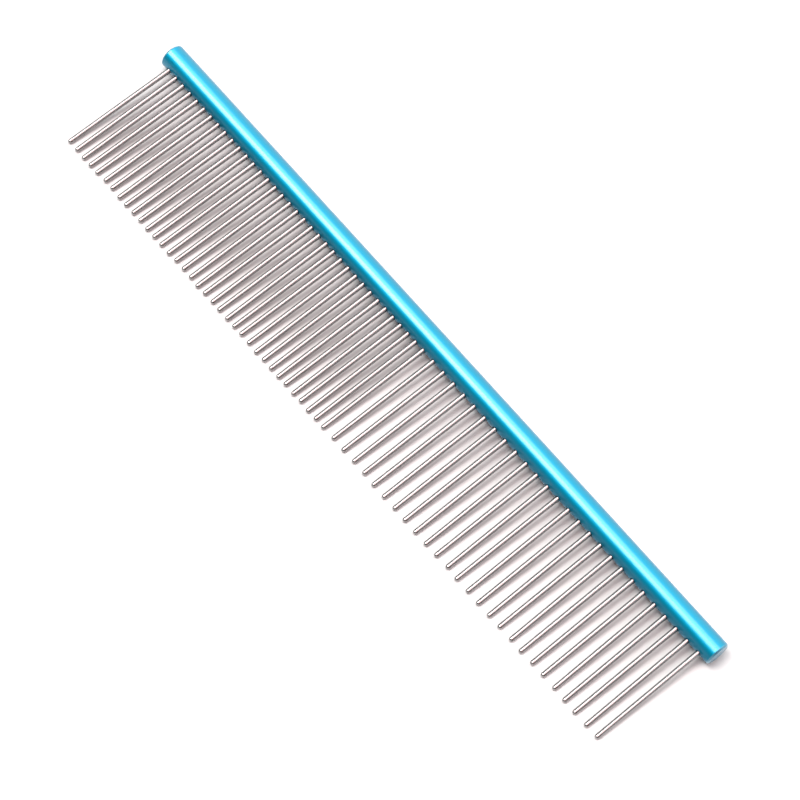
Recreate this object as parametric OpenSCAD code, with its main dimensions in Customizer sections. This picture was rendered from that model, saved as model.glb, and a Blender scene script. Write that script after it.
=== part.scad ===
// Grooming comb: one round spine bar with a row of tapered pins pressed into it.
// The fine half of the row is at -X and the coarse half at +X.
// The comb lies flat: the spine and the pin tips touch the plane Z = 0, and the pins point to -Y.
// The origin is the centre of the footprint, on that plane.

/* [Spine] */
// Length of the spine bar
spine_len = 190; // [190:1:210]
// Diameter of the spine bar
spine_d = 6.2; // [5.6:0.1:7.0]
// Chamfer round each end face of the bar
end_chamfer = 0.4; // [0.1:0.05:0.6]

/* [Pins] */
// Diameter of a pin where it leaves the spine
pin_d = 1.3; // [1.1:0.05:1.4]
// Diameter of a pin just behind its rounded tip
tip_d = 1.15; // [0.9:0.05:1.15]
// Distance from the spine's centre line to the pin tips
reach = 32.7; // [24:0.1:45]
// Depth of the blind bore that holds a pin, down from the bar's surface
bore_depth = 4; // [3:0.1:4.4]

/* [Row] */
// Distance from the spine's fine end to the middle of the first pin
first_pin = 3; // [2:0.1:3.2]
// Number of fine pins
fine_count = 36; // [24:2:36]
// Distance between two fine pins
fine_pitch = 2.63; // [2.2:0.01:2.65]
// Number of coarse pins
coarse_count = 26; // [18:1:26]
// Distance between two coarse pins, and from the last fine pin to the first coarse one
coarse_pitch = 3.53; // [2.8:0.01:3.56]

/* [Hidden] */
$fn = 48;
spine_r = spine_d / 2;
pin_r = pin_d / 2;
tip_r = tip_d / 2;

// The drill leaves a cone under each bore, half its point angle from the bore's axis
drill_half_angle = 59;
drill_cone = pin_r / tan(drill_half_angle);
// Each pin has a small chamfer round its hidden end
seat_chamfer = 0.2;

// Heights along a pin, from the spine's centre line
seat_z = spine_r - bore_depth;
tip_z = reach - tip_r;

first_x = first_pin - spine_len / 2;
coarse_x = first_x + (fine_count - 1) * fine_pitch + coarse_pitch;

// The comb leans on its thinner pin tips, so the row of pins slopes down to the front
slope = asin((spine_r - tip_r) / tip_z);
front = tip_z * cos(slope) + tip_r;
spine_y = (front - spine_r) / 2;

function two_digits(n) = n < 10 ? str("0", n) : str(n);
function fine_pair_name(k) = str("fine_pins_", two_digits(2 * k + 1), "_", two_digits(2 * k + 2));
function coarse_name(k) = str("coarse_pin_", two_digits(k + 1));
function fine_pin_x(i) = first_x + i * fine_pitch;
function coarse_pin_x(i) = coarse_x + i * coarse_pitch;

fine_pairs = floor(fine_count / 2);
pin_places = concat(
    [for (i = [0:fine_count - 1]) fine_pin_x(i)],
    [for (i = [0:coarse_count - 1]) coarse_pin_x(i)]
);

// Stands its children at x along the spine, with their +Z along the pins
module at_spine(x = 0) {
    translate([x, spine_y, spine_r])
        rotate([90 + slope, 0, 0])
            children();
}

// The bar's outline, from its centre line outwards, with both ends chamfered
module spine_outline() {
    half = spine_len / 2;
    polygon([
        [0, -half],
        [spine_r - end_chamfer, -half],
        [spine_r, -half + end_chamfer],
        [spine_r, half - end_chamfer],
        [spine_r - end_chamfer, half],
        [0, half]
    ]);
}

// One blind bore with its drill cone, open at the bar's surface
module pin_bore() {
    translate([0, 0, seat_z])
        cylinder(r = pin_r, h = bore_depth + 1);
    translate([0, 0, seat_z - drill_cone])
        cylinder(r1 = 0, r2 = pin_r, h = drill_cone);
}

module spine() {
    color([0.04, 0.62, 0.76])
        difference() {
            translate([0, spine_y, spine_r])
                rotate([0, 90, 0])
                    rotate_extrude($fn = 96)
                        spine_outline();
            for (x = pin_places)
                at_spine(x)
                    pin_bore();
        }
}

// One pin: a straight shank in the bore, then a long slight taper with a rounded tip
module pin() {
    translate([0, 0, seat_z])
        cylinder(r1 = pin_r - seat_chamfer, r2 = pin_r, h = seat_chamfer);
    translate([0, 0, seat_z + seat_chamfer])
        cylinder(r = pin_r, h = bore_depth - seat_chamfer);
    translate([0, 0, spine_r])
        cylinder(r1 = pin_r, r2 = tip_r, h = tip_z - spine_r);
    translate([0, 0, tip_z])
        sphere(r = tip_r);
}

module fine_pin_pair(k) {
    color([0.78, 0.78, 0.77])
        for (i = [2 * k, 2 * k + 1])
            at_spine(fine_pin_x(i))
                pin();
}

module coarse_pin(k) {
    color([0.80, 0.80, 0.79])
        at_spine(coarse_pin_x(k))
            pin();
}

spine();
for (k = [0:fine_pairs - 1])
    fine_pin_pair(k);
for (k = [0:coarse_count - 1])
    coarse_pin(k);
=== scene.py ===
import math
import random

import bmesh
import bpy
from mathutils import Matrix, Vector


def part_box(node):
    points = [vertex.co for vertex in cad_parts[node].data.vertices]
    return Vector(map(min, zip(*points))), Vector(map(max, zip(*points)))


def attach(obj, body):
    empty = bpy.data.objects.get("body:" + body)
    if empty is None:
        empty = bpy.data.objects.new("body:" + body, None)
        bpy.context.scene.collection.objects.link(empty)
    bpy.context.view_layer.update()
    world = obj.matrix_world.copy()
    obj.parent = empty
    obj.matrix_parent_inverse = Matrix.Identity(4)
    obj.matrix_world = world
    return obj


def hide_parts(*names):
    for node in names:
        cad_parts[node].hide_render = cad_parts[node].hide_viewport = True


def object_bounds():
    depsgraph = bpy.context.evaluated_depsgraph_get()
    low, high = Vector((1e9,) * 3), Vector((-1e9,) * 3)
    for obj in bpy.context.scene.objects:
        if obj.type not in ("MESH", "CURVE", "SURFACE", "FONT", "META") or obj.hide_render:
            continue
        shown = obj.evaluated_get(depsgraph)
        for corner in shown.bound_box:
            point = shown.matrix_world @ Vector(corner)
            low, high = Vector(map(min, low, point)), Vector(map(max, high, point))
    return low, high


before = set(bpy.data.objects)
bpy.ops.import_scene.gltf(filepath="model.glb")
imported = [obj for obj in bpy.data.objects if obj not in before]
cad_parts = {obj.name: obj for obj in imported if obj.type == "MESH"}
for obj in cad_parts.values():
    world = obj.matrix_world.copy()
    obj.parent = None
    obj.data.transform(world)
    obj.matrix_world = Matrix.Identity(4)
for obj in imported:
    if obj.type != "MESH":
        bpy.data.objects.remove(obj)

CAD_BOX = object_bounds()
MM = 0.001
BODY = "root"

# --------------------------------------------------------------------------
# Sizes, in metres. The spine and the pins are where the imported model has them.
# --------------------------------------------------------------------------
SPINE_LOW, SPINE_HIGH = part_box("spine")
SPINE_LEN = SPINE_HIGH.x - SPINE_LOW.x
SPINE_MID_X = (SPINE_LOW.x + SPINE_HIGH.x) / 2
SPINE_Y = (SPINE_LOW.y + SPINE_HIGH.y) / 2
SPINE_Z = (SPINE_LOW.z + SPINE_HIGH.z) / 2
SKIN_INSET = 0.005 * MM  # keeps the bar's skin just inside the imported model's
SPINE_R = (SPINE_HIGH.z - SPINE_LOW.z) / 2 - SKIN_INSET
END_CHAMFER = 0.4 * MM
CHAMFER_SOFT = 0.09 * MM

PIN_R = 0.65 * MM
TIP_R = 0.575 * MM
PIN_FRONT = CAD_BOX[0].y
SEAT_CHAMFER = 0.2 * MM
SEAT_LAND = 0.1 * MM  # a straight stretch that keeps the edge of the seat chamfer crisp
LAST_HIDDEN_RING = 0.6 * MM  # how far inside the bore's mouth
FINE_COUNT = 36
COARSE_COUNT = 26

BORE_DEPTH = 4 * MM
BORE_GAP = 0.012 * MM
DRILL_HALF_ANGLE = math.radians(59)
RIM_R = PIN_R + 0.24 * MM
RIM_FALL = 0.26 * MM

# The pins differ a little: how far each leans, as a slope, and how much shorter it may be
SIDE_LEAN = 0.0028
UP_LEAN = 0.0016
MOST_SIDE_LEAN = 0.008
MOST_SHORTENING = 0.30 * MM
PIN_SEED = 7

# How worn the dye is, from 0 to 1
CHAMFER_WEAR = 1.0
RIM_WEAR = 0.45
END_FACE_WEAR = 0.15

# How finely the meshes are divided
CELL_SIDE_STEPS = 8
RIM_STEPS = 4 * CELL_SIDE_STEPS
STRIP_HALF_ANGLE = math.radians(24)
CELL_RINGS = (0.4, 0.75, 0.95)  # fractions of the way from the edge of a cell in to its rim
BACK_STEPS = 56
PLAIN_END_STEPS = 8
CHAMFER_CORNER_STEPS = 4
END_FACE_RINGS = (0.9, 0.7, 0.45, 0.2)  # fractions of the end face's radius
PIN_SIDES = 32
PIN_STEPS = 26
TIP_STEPS = 10
FLOOR_HALF = 3.0
FLOOR_STEPS = 12

# The comb leans on its pin tips, so the pins slope down from the spine's centre line to the floor
TIP_CENTRE = Vector((0, PIN_FRONT + TIP_R - SPINE_Y, TIP_R - SPINE_Z))
TIP_REACH = TIP_CENTRE.length
PIN_WAY = TIP_CENTRE.normalized()
ROUND_WAY = Vector((1, 0, 0)).cross(PIN_WAY)


def fine_pin(i):
    """(name, node, x) of fine pin i, counted from 0. Each fine node holds two pins."""
    first = 2 * (i // 2) + 1
    node = f"fine_pins_{first:02d}_{first + 1:02d}"
    low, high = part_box(node)
    x = low.x + PIN_R if i % 2 == 0 else high.x - PIN_R
    return f"fine_pin_{i + 1:02d}", node, x


def coarse_pin(i):
    """(name, node, x) of coarse pin i, counted from 0."""
    node = f"coarse_pin_{i + 1:02d}"
    low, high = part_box(node)
    return f"coarse_steel_pin_{i + 1:02d}", node, (low.x + high.x) / 2


PIN_PLACES = [fine_pin(i) for i in range(FINE_COUNT)] + [coarse_pin(i) for i in range(COARSE_COUNT)]


# --------------------------------------------------------------------------
# Node helpers
# --------------------------------------------------------------------------
def combine(nodes, links, operation, first, second):
    """A Math node. Each input is a number or another node's output."""
    made = nodes.new("ShaderNodeMath")
    made.operation = operation
    for socket, value in zip(made.inputs, (first, second)):
        if isinstance(value, (int, float)):
            socket.default_value = value
        else:
            links.new(value, socket)
    return made.outputs["Value"]


def value_map(nodes, links, value, low, high, from_low=0.0, from_high=1.0):
    """value, moved in a straight line from the range from_low..from_high to low..high."""
    mapped = nodes.new("ShaderNodeMapRange")
    mapped.inputs["From Min"].default_value = from_low
    mapped.inputs["From Max"].default_value = from_high
    mapped.inputs["To Min"].default_value = low
    mapped.inputs["To Max"].default_value = high
    links.new(value, mapped.inputs["Value"])
    return mapped.outputs["Result"]


def noise(nodes, links, stretch, scale, detail=3.0):
    """Noise fixed to the piece. Along each axis its frequency, per metre, is that stretch times scale."""
    coordinates = nodes.new("ShaderNodeTexCoord")
    mapping = nodes.new("ShaderNodeMapping")
    mapping.inputs["Scale"].default_value = stretch
    links.new(coordinates.outputs["Object"], mapping.inputs["Vector"])
    texture = nodes.new("ShaderNodeTexNoise")
    texture.inputs["Scale"].default_value = scale
    texture.inputs["Detail"].default_value = detail
    links.new(mapping.outputs["Vector"], texture.inputs["Vector"])
    return texture.outputs["Fac"]


def colour_mix(nodes, links, amount, first, second):
    """first where amount is 0 and second where it is 1. Each is a colour or another node's output."""
    mix = nodes.new("ShaderNodeMix")
    mix.data_type = "RGBA"
    links.new(amount, mix.inputs["Factor"])
    for name, value in (("A", first), ("B", second)):
        socket = next(s for s in mix.inputs if s.name == name and s.type == "RGBA")
        if isinstance(value, tuple):
            socket.default_value = value
        else:
            links.new(value, socket)
    return next(s for s in mix.outputs if s.type == "RGBA")


def add_bump(nodes, links, shader, height, strength, distance):
    bump = nodes.new("ShaderNodeBump")
    bump.inputs["Strength"].default_value = strength
    bump.inputs["Distance"].default_value = distance
    links.new(height, bump.inputs["Height"])
    links.new(bump.outputs["Normal"], shader.inputs["Normal"])


def new_material(name):
    material = bpy.data.materials.new(name)
    material.use_nodes = True
    nodes = material.node_tree.nodes
    return material, nodes, material.node_tree.links, nodes["Principled BSDF"]


# --------------------------------------------------------------------------
# Camera
# --------------------------------------------------------------------------
CAMERA_PLACE = Vector((0.1746, -0.1962, 0.5584))
CAMERA_TARGET = Vector((0.0058, 0.0002, 0.0015))
CAMERA_UP_BEARING = math.radians(141.8)
CAMERA_LENS = 123.9


def make_camera():
    """A long lens above the front of the coarse end, rolled so that the comb runs down to the right."""
    back = (CAMERA_PLACE - CAMERA_TARGET).normalized()
    over_table = Vector((math.cos(CAMERA_UP_BEARING), math.sin(CAMERA_UP_BEARING), 0))
    up = (over_table - Vector((0, 0, over_table.dot(back) / back.z))).normalized()
    turn = Matrix((up.cross(back), up, back)).transposed()
    data = bpy.data.cameras.new("camera")
    data.sensor_width = 36
    data.lens = CAMERA_LENS
    data.clip_start = 0.01
    data.clip_end = 20
    camera = bpy.data.objects.new("camera", data)
    camera.matrix_world = Matrix.Translation(CAMERA_PLACE) @ turn.to_4x4()
    bpy.context.scene.collection.objects.link(camera)
    bpy.context.scene.camera = camera


# --------------------------------------------------------------------------
# Light
# --------------------------------------------------------------------------
# The studio as soft panels. Each has a name, a brightness and a colour, then its middle, half width and
# softness in degrees, first for the angle over the comb and then for the angle to the side. The angle over
# the comb runs from behind it (+Y) past the zenith (90) to the front (180). The angle to the side is
# negative towards the fine end.
PANELS = (
    ("key", 15.6, (0.99, 1.0, 0.985), (105, 16, 7), (-24, 15, 8)),
    ("top", 6.3, (1.18, 1.0, 0.995), (87, 24, 9), (-12, 13, 5)),
    ("right", 3.9, (1.45, 0.98, 0.99), (74, 48, 16), (21, 6, 15)),
    ("back", 2.0, (0.74, 1.0, 1.02), (30, 38, 6), (-1, 64, 14)),
    ("front", 0.6, (0.6, 1.0, 1.04), (173, 11, 8), (0, 60, 15)),
)
ROOM = (0.024, 0.020, 0.019, 1)
BACKDROP = (0.92, 0.92, 0.92, 1)


def panel_window(nodes, links, angle, middle, half, soft):
    """1 well inside middle +- half and 0 well outside, with a smooth edge that is twice soft wide."""
    off = combine(nodes, links, "ABSOLUTE", combine(nodes, links, "SUBTRACT", angle, middle), 0)
    window = nodes.new("ShaderNodeMapRange")
    window.interpolation_type = "SMOOTHSTEP"
    window.inputs["From Min"].default_value = half - soft
    window.inputs["From Max"].default_value = half + soft
    window.inputs["To Min"].default_value = 1
    window.inputs["To Max"].default_value = 0
    links.new(off, window.inputs["Value"])
    return window.outputs["Result"]


def panel_shader(nodes, links, over, side, panel):
    name, brightness, colour, over_place, side_place = panel
    over_window = panel_window(nodes, links, over, *over_place)
    side_window = panel_window(nodes, links, side, *side_place)
    shape = combine(nodes, links, "MULTIPLY", over_window, side_window)
    shader = nodes.new("ShaderNodeBackground")
    shader.label = name
    shader.inputs["Color"].default_value = (*colour, 1)
    links.new(combine(nodes, links, "MULTIPLY", shape, brightness), shader.inputs["Strength"])
    return shader.outputs["Background"]


def add_shader(nodes, links, first, second):
    both = nodes.new("ShaderNodeAddShader")
    links.new(first, both.inputs[0])
    links.new(second, both.inputs[1])
    return both.outputs["Shader"]


def sky_angles(nodes, links):
    """Where a place in the sky is, as its angle over the comb and its angle to the side, in degrees."""
    way = nodes.new("ShaderNodeSeparateXYZ")
    links.new(nodes.new("ShaderNodeTexCoord").outputs["Generated"], way.inputs["Vector"])
    over = combine(nodes, links, "ARCTAN2", way.outputs["Z"], way.outputs["Y"])
    side = combine(nodes, links, "ARCSINE", way.outputs["X"], 0)
    return combine(nodes, links, "DEGREES", over, 0), combine(nodes, links, "DEGREES", side, 0)


def make_light():
    """Soft panels round the comb in a dim warm room. The camera itself sees a plain pale backdrop."""
    world = bpy.data.worlds.new("studio")
    world.use_nodes = True
    nodes = world.node_tree.nodes
    links = world.node_tree.links
    over, side = sky_angles(nodes, links)
    room = nodes["Background"]
    room.inputs["Color"].default_value = ROOM
    light = room.outputs["Background"]
    for panel in PANELS:
        light = add_shader(nodes, links, light, panel_shader(nodes, links, over, side, panel))
    backdrop = nodes.new("ShaderNodeBackground")
    backdrop.inputs["Color"].default_value = BACKDROP
    choice = nodes.new("ShaderNodeMixShader")
    links.new(nodes.new("ShaderNodeLightPath").outputs["Is Camera Ray"], choice.inputs["Fac"])
    links.new(light, choice.inputs[1])
    links.new(backdrop.outputs["Background"], choice.inputs[2])
    links.new(choice.outputs["Shader"], nodes["World Output"].inputs["Surface"])
    bpy.context.scene.world = world
    bpy.context.scene.view_settings.view_transform = "Standard"


# --------------------------------------------------------------------------
# Materials
# --------------------------------------------------------------------------
DYE_DARK = (0.001, 0.210, 0.330, 1)
DYE_LIGHT = (0.002, 0.225, 0.350, 1)
DYE_WORN = (0.10, 0.27, 0.36, 1)
STEEL_DARK = (0.330, 0.306, 0.303, 1)
STEEL_LIGHT = (0.380, 0.356, 0.353, 1)
TABLE_DARK = (0.437, 0.437, 0.437, 1)
TABLE_LIGHT = (0.453, 0.453, 0.453, 1)


def make_anodised():
    """Turquoise anodised aluminium: dyed metal under a clear skin, drawn lengthwise, paler where worn."""
    material, nodes, links, shader = new_material("anodised_aluminium")
    grain = noise(nodes, links, (60, 9000, 9000), 1.0, 4.0)
    cloud = noise(nodes, links, (1, 3, 3), 60.0)
    patches = noise(nodes, links, (1, 1, 1), 900.0)
    wear = nodes.new("ShaderNodeAttribute")
    wear.attribute_name = "wear"
    worn = combine(nodes, links, "MULTIPLY", wear.outputs["Fac"], value_map(nodes, links, patches, 0.4, 1.2))
    dye = colour_mix(nodes, links, cloud, DYE_DARK, DYE_LIGHT)
    links.new(colour_mix(nodes, links, worn, dye, DYE_WORN), shader.inputs["Base Color"])
    links.new(value_map(nodes, links, grain, 0.50, 0.60), shader.inputs["Roughness"])
    shader.inputs["Metallic"].default_value = 1.0
    shader.inputs["Coat Weight"].default_value = 1.0
    shader.inputs["Coat Roughness"].default_value = 0.13
    shader.inputs["Coat IOR"].default_value = 1.42
    add_bump(nodes, links, shader, grain, 0.25, 0.02 * MM)
    return material


def make_steel():
    """Bright ground steel: fine rings round the pin from grinding, long draw lines, and faint stains."""
    material, nodes, links, shader = new_material("pin_steel")
    rings = noise(nodes, links, (900, 14000, 900), 1.0)
    lines = noise(nodes, links, (9000, 120, 9000), 1.0)
    stain = noise(nodes, links, (1, 0.6, 1), 350.0, 4.0)
    links.new(colour_mix(nodes, links, stain, STEEL_DARK, STEEL_LIGHT), shader.inputs["Base Color"])
    marks = combine(nodes, links, "ADD", rings, lines)
    links.new(value_map(nodes, links, marks, 0.18, 0.30, 0.6, 1.4), shader.inputs["Roughness"])
    shader.inputs["Metallic"].default_value = 1.0
    add_bump(nodes, links, shader, marks, 0.07, 0.01 * MM)
    return material


def make_table():
    """A plain matt table top with a barely uneven tone."""
    material, nodes, links, shader = new_material("white_table")
    tone = noise(nodes, links, (1, 1, 1), 400.0, 5.0)
    links.new(colour_mix(nodes, links, tone, TABLE_DARK, TABLE_LIGHT), shader.inputs["Base Color"])
    shader.inputs["Roughness"].default_value = 0.75
    shader.inputs["Specular IOR Level"].default_value = 0.25
    return material


# --------------------------------------------------------------------------
# Pieces
# --------------------------------------------------------------------------
def make_object(name, build, material):
    """Turns a finished build into an object in the scene."""
    mesh = bpy.data.meshes.new(name)
    build.to_mesh(mesh)
    build.free()
    mesh.materials.append(material)
    made = bpy.data.objects.new(name, mesh)
    bpy.context.scene.collection.objects.link(made)
    return made


def finish_piece(name, build, material, node):
    """Puts a finished build on the comb's body as a named piece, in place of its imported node."""
    bmesh.ops.recalc_face_normals(build, faces=build.faces)
    piece = make_object(name, build, material)
    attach(piece, BODY)
    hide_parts(node)


def make_floor(material):
    build = bmesh.new()
    bmesh.ops.create_grid(build, x_segments=FLOOR_STEPS, y_segments=FLOOR_STEPS, size=FLOOR_HALF)
    floor = make_object("floor", build, material)


# --------------------------------------------------------------------------
# The spine. Its skin is a row of cells, one round each pin, a plain back, and two chamfered ends.
# --------------------------------------------------------------------------
def on_spine(x, radius, angle):
    """A point at x along the spine, radius from its centre line, angle round it from the pins' side."""
    across = PIN_WAY * math.cos(angle) + ROUND_WAY * math.sin(angle)
    return Vector((x, SPINE_Y, SPINE_Z)) + across * radius


class SpineMesh:
    """The bar's mesh. Points on the outer surface are shared by place, so the patches join up."""

    LENGTH_GRID = 1e7
    ANGLE_GRID = 1e5
    RADIUS_GRID = 1e8

    def __init__(self):
        self.build = bmesh.new()
        self.wear = self.build.verts.layers.float.new("wear")
        self.shared = {}

    def point(self, place, wear=0.0):
        vert = self.build.verts.new(place)
        vert[self.wear] = wear
        return vert

    def surface(self, x, angle, radius=SPINE_R, wear=0.0):
        """The point at this place on the surface, made once and then shared."""
        turn = round(math.remainder(angle, 2 * math.pi) * self.ANGLE_GRID)
        turn %= round(2 * math.pi * self.ANGLE_GRID)
        key = (round(x * self.LENGTH_GRID), turn, round(radius * self.RADIUS_GRID))
        if key not in self.shared:
            self.shared[key] = self.point(on_spine(x, radius, angle), wear)
        return self.shared[key]

    def face(self, *corners, smooth=True):
        self.build.faces.new(corners).smooth = smooth

    def band(self, first, second):
        """Quads between two closed rings of points."""
        for i in range(len(first)):
            j = (i + 1) % len(first)
            self.face(first[i], first[j], second[j], second[i])

    def fan(self, ring, middle, smooth=True):
        """Triangles from a closed ring of points to the point in its middle."""
        for i in range(len(ring)):
            self.face(ring[i], ring[(i + 1) % len(ring)], middle, smooth=smooth)

    def crease(self, ring):
        for i in range(len(ring)):
            self.build.edges.get((ring[i], ring[(i + 1) % len(ring)])).smooth = False


def cell_edge(low_x, high_x, step):
    """Point number step on the edge of a pin's cell, as (x, angle), going round from the low corner."""
    side, along = divmod(step % RIM_STEPS, CELL_SIDE_STEPS)
    t = along / CELL_SIDE_STEPS
    x_values = (low_x + (high_x - low_x) * t, high_x, high_x + (low_x - high_x) * t, low_x)
    turn = STRIP_HALF_ANGLE * (2 * t - 1)
    return x_values[side], (-STRIP_HALF_ANGLE, turn, STRIP_HALF_ANGLE, -turn)[side]


def cell_limits():
    """(pin's x, cell's low x, cell's high x) along the spine. Neighbouring cells meet half way."""
    places = [x for _, _, x in PIN_PLACES]
    middles = [(a + b) / 2 for a, b in zip(places, places[1:])]
    lows = [places[0] - (middles[0] - places[0])] + middles
    highs = middles + [places[-1] + (places[-1] - middles[-1])]
    return list(zip(places, lows, highs))


def cell_ring(spine, x, edge, turns, t):
    """A ring on the skin, the fraction t of the way from the edge of a cell in to the rim of its hole."""
    ring = []
    for (edge_x, edge_angle), turn in zip(edge, turns):
        rim_x = x + RIM_R * math.cos(turn)
        rim_angle = math.asin(RIM_R * math.sin(turn) / SPINE_R)
        ring_x = edge_x + (rim_x - edge_x) * t
        ring_angle = edge_angle + (rim_angle - edge_angle) * t
        ring.append(spine.point(on_spine(ring_x, SPINE_R, ring_angle)))
    return ring


def hole_ring(spine, x, turns, radius, height_at, wear=0.0):
    """A ring of this radius round a pin. height_at gives its height, from how far a point is to the side."""
    ring = []
    for turn in turns:
        side = radius * math.sin(turn)
        foot = on_spine(x + radius * math.cos(turn), 0, 0)
        ring.append(spine.point(foot + PIN_WAY * height_at(side) + ROUND_WAY * side, wear))
    return ring


def skin_height(side):
    return math.sqrt(SPINE_R ** 2 - side ** 2)


def drill_cell(spine, x, low_x, high_x):
    """The skin round one pin, and the bore in it: rim, countersink, wall and drill cone."""
    bore_r = PIN_R + BORE_GAP
    seat = SPINE_R - BORE_DEPTH
    edge = [cell_edge(low_x, high_x, step) for step in range(RIM_STEPS)]
    corner = math.atan2(-STRIP_HALF_ANGLE * SPINE_R, low_x - x)
    turns = [corner + 2 * math.pi * step / RIM_STEPS for step in range(RIM_STEPS)]
    rings = [[spine.surface(edge_x, edge_angle) for edge_x, edge_angle in edge]]
    rings += [cell_ring(spine, x, edge, turns, t) for t in CELL_RINGS]
    rim = hole_ring(spine, x, turns, RIM_R, skin_height, RIM_WEAR)
    mouth = hole_ring(spine, x, turns, bore_r, lambda side: skin_height(side) - RIM_FALL)
    wall = hole_ring(spine, x, turns, bore_r, lambda side: seat)
    rings += [rim, mouth, wall]
    for first, second in zip(rings, rings[1:]):
        spine.band(first, second)
    cone = bore_r / math.tan(DRILL_HALF_ANGLE)
    spine.fan(wall, spine.point(on_spine(x, seat - cone, 0)), smooth=False)
    spine.crease(rim)
    spine.crease(mouth)


def back_angles():
    """The angles of the lines round the plain back, from one edge of the drilled strip to the other."""
    span = 2 * math.pi - 2 * STRIP_HALF_ANGLE
    return [STRIP_HALF_ANGLE + span * i / BACK_STEPS for i in range(BACK_STEPS + 1)]


def all_angles():
    """The angles of all lines along the bar: those of the drilled strip, then those of the back."""
    strip = [STRIP_HALF_ANGLE * (2 * i / CELL_SIDE_STEPS - 1) for i in range(CELL_SIDE_STEPS)]
    return strip + back_angles()[:-1]


def wrap_back(spine, low_x, high_x):
    """The plain skin behind one cell."""
    lines = [cell_edge(low_x, high_x, step)[0] for step in range(CELL_SIDE_STEPS + 1)]
    angles = back_angles()
    for x0, x1 in zip(lines, lines[1:]):
        for a0, a1 in zip(angles, angles[1:]):
            near = (spine.surface(x0, a0), spine.surface(x0, a1))
            far = (spine.surface(x1, a1), spine.surface(x1, a0))
            spine.face(*near, *far)


def rounded_corner(before, corner, after):
    """Points on the curve that cuts a corner, from before to after."""
    points = []
    for i in range(CHAMFER_CORNER_STEPS + 1):
        t = i / CHAMFER_CORNER_STEPS
        a, b, c = (1 - t) ** 2, 2 * t * (1 - t), t ** 2
        points.append(tuple(a * p + b * q + c * r for p, q, r in zip(before, corner, after)))
    return points


def end_profile():
    """(distance in from the end face, radius) down a chamfer whose two corners are slightly rounded."""
    slant = CHAMFER_SOFT * math.sqrt(0.5)
    face_r = SPINE_R - END_CHAMFER
    side_start = (END_CHAMFER + CHAMFER_SOFT, SPINE_R)
    side_end = (END_CHAMFER - slant, SPINE_R - slant)
    face_start = (slant, face_r + slant)
    face_end = (0, face_r - CHAMFER_SOFT)
    side_corner = rounded_corner(side_start, (END_CHAMFER, SPINE_R), side_end)
    return side_corner + rounded_corner(face_start, (0, face_r), face_end)


def close_end(spine, end, start_x):
    """The bar beyond its last cell, its chamfer and its end face. end is -1 or 1."""
    face_x = end * SPINE_LEN / 2 + SPINE_MID_X
    profile = end_profile()
    plain_x = face_x - end * profile[0][0]
    plain = [start_x + (plain_x - start_x) * i / PLAIN_END_STEPS for i in range(PLAIN_END_STEPS)]
    rows = [(x, SPINE_R, 0.0) for x in plain + [plain_x]]
    rows += [(face_x - end * depth, radius, CHAMFER_WEAR) for depth, radius in profile[1:]]
    rows += [(face_x, (SPINE_R - END_CHAMFER) * f, END_FACE_WEAR) for f in END_FACE_RINGS]
    angles = all_angles()
    rings = [[spine.surface(x, angle, radius, wear) for angle in angles] for x, radius, wear in rows]
    for first, second in zip(rings, rings[1:]):
        spine.band(first, second)
    spine.fan(rings[-1], spine.point(on_spine(face_x, 0, 0), END_FACE_WEAR))


def make_spine(material):
    spine = SpineMesh()
    cells = cell_limits()
    for x, low_x, high_x in cells:
        drill_cell(spine, x, low_x, high_x)
    for _, low_x, high_x in cells:
        wrap_back(spine, low_x, high_x)
    first_x = cells[0][1]
    last_x = cells[-1][2]
    close_end(spine, -1, first_x)
    close_end(spine, 1, last_x)
    finish_piece("spine_bar", spine.build, material, "spine")


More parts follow.
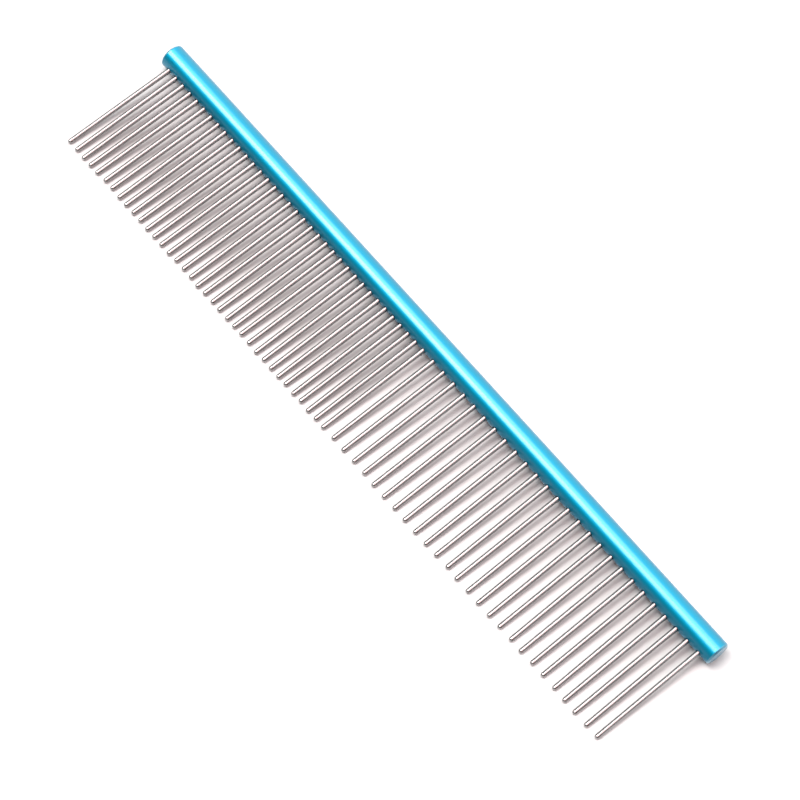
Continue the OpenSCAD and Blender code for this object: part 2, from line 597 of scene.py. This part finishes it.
# --------------------------------------------------------------------------
# The pins
# --------------------------------------------------------------------------
def pin_profile(reach):
    """(distance from the spine's centre line, radius) from the hidden end of a pin to its rounded tip."""
    seat = SPINE_R - BORE_DEPTH
    shoulder = seat + SEAT_CHAMFER
    points = [(seat, 0.0), (seat, PIN_R - SEAT_CHAMFER), (shoulder, PIN_R)]
    points += [(shoulder + SEAT_LAND, PIN_R), (SPINE_R - LAST_HIDDEN_RING, PIN_R)]
    body_end = reach - TIP_R
    for i in range(PIN_STEPS):
        t = i / PIN_STEPS
        points.append((SPINE_R + (body_end - SPINE_R) * t, PIN_R + (TIP_R - PIN_R) * t))
    for i in range(TIP_STEPS + 1):
        a = math.pi / 2 * i / TIP_STEPS
        points.append((body_end + TIP_R * math.sin(a), TIP_R * math.cos(a)))
    return points


def pin_direction(draw):
    """The way a pin points, with a small lean to the side and a smaller one up off the floor."""
    sideways = draw.gauss(0, SIDE_LEAN)
    upwards = abs(draw.gauss(0, UP_LEAN))
    sideways = max(-MOST_SIDE_LEAN, min(MOST_SIDE_LEAN, sideways))
    lean = Vector((sideways, 0, 0)) - ROUND_WAY * upwards
    return (PIN_WAY + lean).normalized()


def join_rings(build, first, second):
    """Faces between two rings of a pin. Either ring may be a single point."""
    for i in range(PIN_SIDES):
        j = (i + 1) % PIN_SIDES
        near = [first[i % len(first)], first[j % len(first)]]
        far = [second[j % len(second)], second[i % len(second)]]
        build.faces.new(list(dict.fromkeys(near + far))).smooth = True


def make_pin(name, node, x, material, draw):
    way = pin_direction(draw)
    reach = TIP_REACH + TIP_R - draw.uniform(0.0, MOST_SHORTENING)
    side = Vector((0, 0, 1)).cross(way).normalized()
    up = way.cross(side)
    turns = [2 * math.pi * i / PIN_SIDES for i in range(PIN_SIDES)]
    spokes = [side * math.cos(turn) + up * math.sin(turn) for turn in turns]
    build = bmesh.new()
    rings = []
    for along, radius in pin_profile(reach):
        centre = Vector((x, SPINE_Y, SPINE_Z)) + way * along
        is_point = radius < 0.0001 * MM
        places = [centre] if is_point else [centre + spoke * radius for spoke in spokes]
        rings.append([build.verts.new(place) for place in places])
    for first, second in zip(rings, rings[1:]):
        join_rings(build, first, second)
    finish_piece(name, build, material, node)


make_camera()
make_light()
make_floor(make_table())
make_spine(make_anodised())
steel = make_steel()
pin_draw = random.Random(PIN_SEED)
for pin_name, pin_node, pin_x in PIN_PLACES:
    make_pin(pin_name, pin_node, pin_x, steel, pin_draw)
